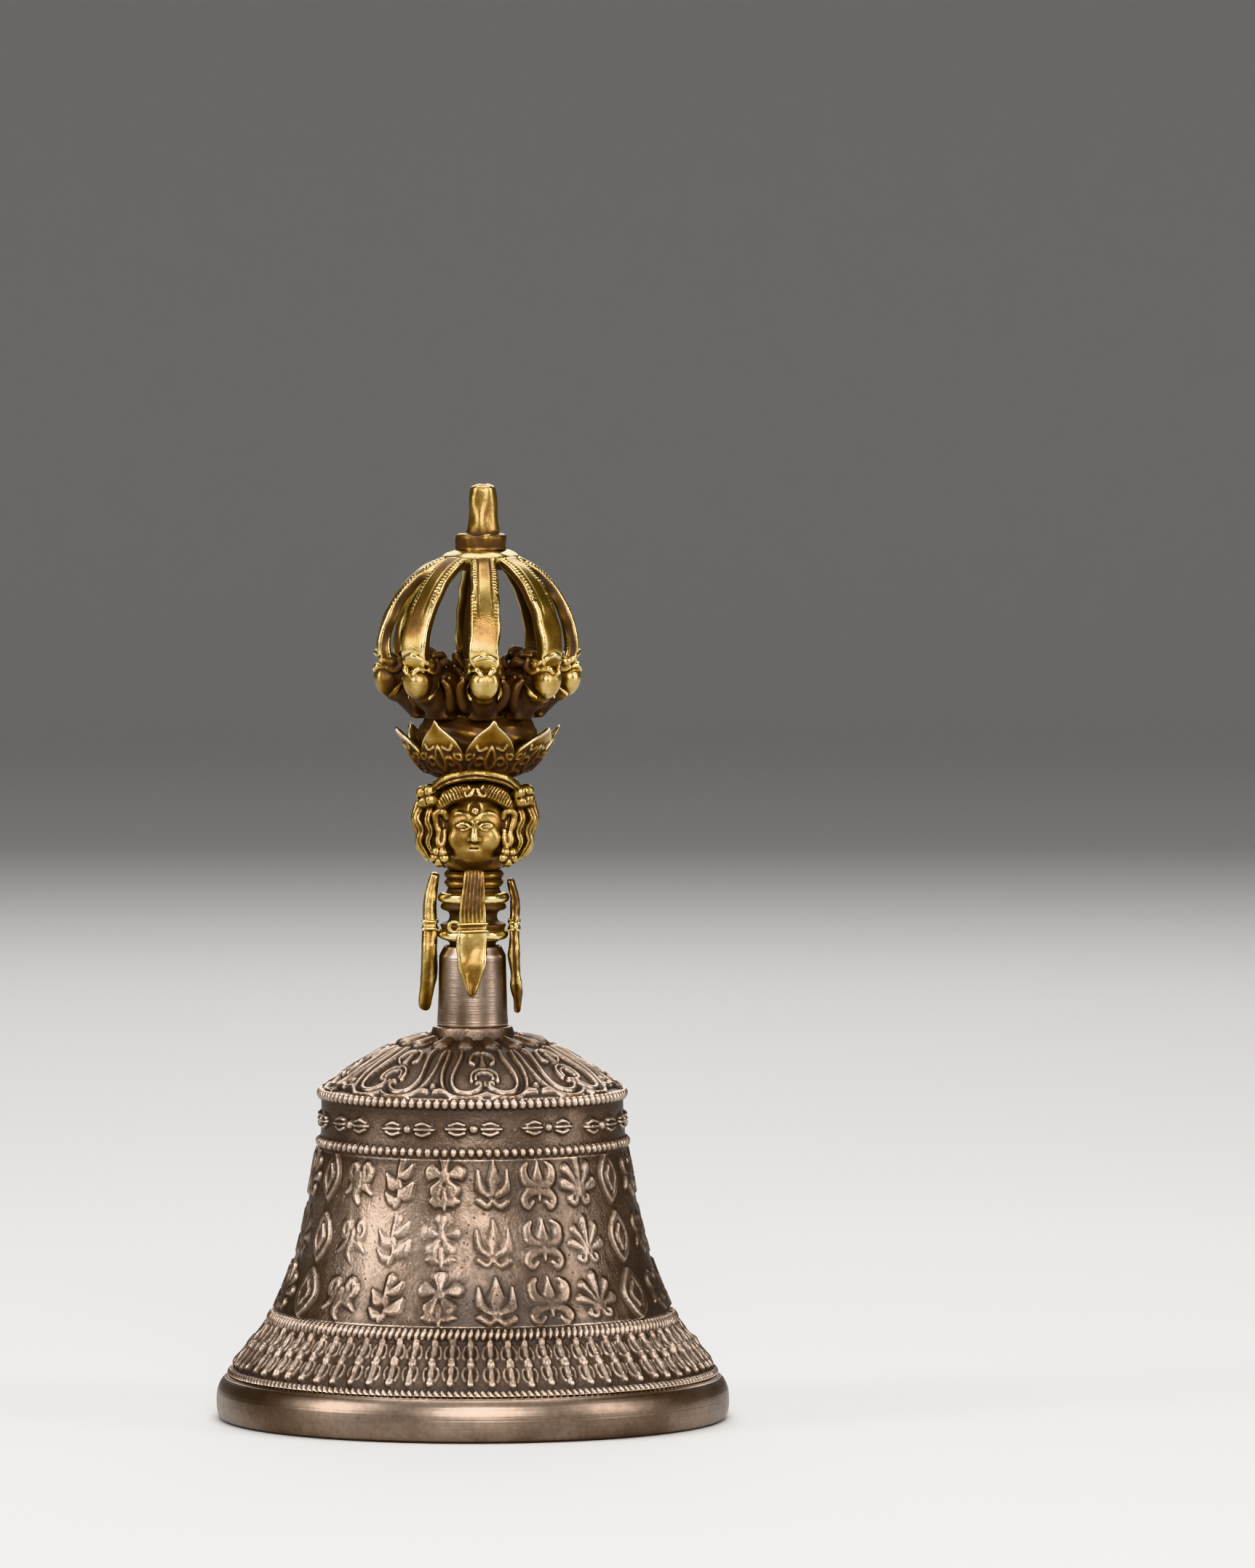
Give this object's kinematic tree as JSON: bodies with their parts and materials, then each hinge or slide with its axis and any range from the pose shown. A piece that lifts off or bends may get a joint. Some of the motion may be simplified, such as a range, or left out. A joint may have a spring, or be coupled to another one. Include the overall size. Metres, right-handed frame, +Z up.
{
  "type": "tibetan hand bell",
  "caption": "Flared cast hand bell with relief bands and a hanging clapper, on a post handle with a head, a lotus cup and a cage crown of curved prongs.",
  "frame": {"origin": "centre of the circle that the rim stands on", "axes": "+Z up along the bell's axis to the finial, -Y towards the face on the handle, +X to its right as seen from the front"},
  "size_m": [0.1126, 0.1126, 0.206],
  "materials": {
    "bronze": "cast bronze, pinkish brown, dark in the recesses",
    "turned_bronze": "lathe-turned bronze, brushed",
    "brass": "polished yellow brass with brown patina in the recesses",
    "dark_brass": "brass under dark red-brown patina",
    "silvered_brass": "pale worn sheet brass",
    "pitch": "dull dark lac or pitch",
    "iron": "dark forged iron"
  },
  "bodies": {
    "bell": {"bell_body": "bronze", "neck_socket": "turned_bronze", "socket_filler": "pitch", "handle_post": "dark_brass", "ring_lower": "brass", "ring_upper": "brass", "head_collar": "dark_brass", "head": "brass", "lotus_cup": "silvered_brass", "crown_base": "dark_brass", "central_prong": "dark_brass", "crown_hub": "brass", "finial": "brass", "crown_prong_1": "brass", "crown_prong_2": "brass", "crown_prong_3": "brass", "crown_prong_4": "brass", "crown_prong_5": "brass", "crown_prong_6": "brass", "crown_prong_7": "brass", "crown_prong_8": "brass", "pendant_front": "brass", "pendant_band_front": "brass", "pendant_right": "brass", "pendant_band_right": "brass", "pendant_back": "brass", "pendant_band_back": "brass", "pendant_left": "brass", "pendant_band_left": "brass", "clapper_staple": "iron"},
    "clapper_hanger": {"clapper_link": "iron"},
    "clapper": {"clapper_rod": "iron", "clapper_striker": "iron"}
  },
  "joints": [
    {"name": "ring_swing", "type": "hinge", "parent": "bell", "child": "clapper_hanger", "pos_m": [0, 0, 0.0714], "axis": [1, 0, 0], "range_deg": [-9, 9]},
    {"name": "clapper_swing", "type": "hinge", "parent": "clapper_hanger", "child": "clapper", "pos_m": [0, 0, 0.06735], "axis": [0, 1, 0], "range_deg": [-36.5, 36.5]}
  ]
}
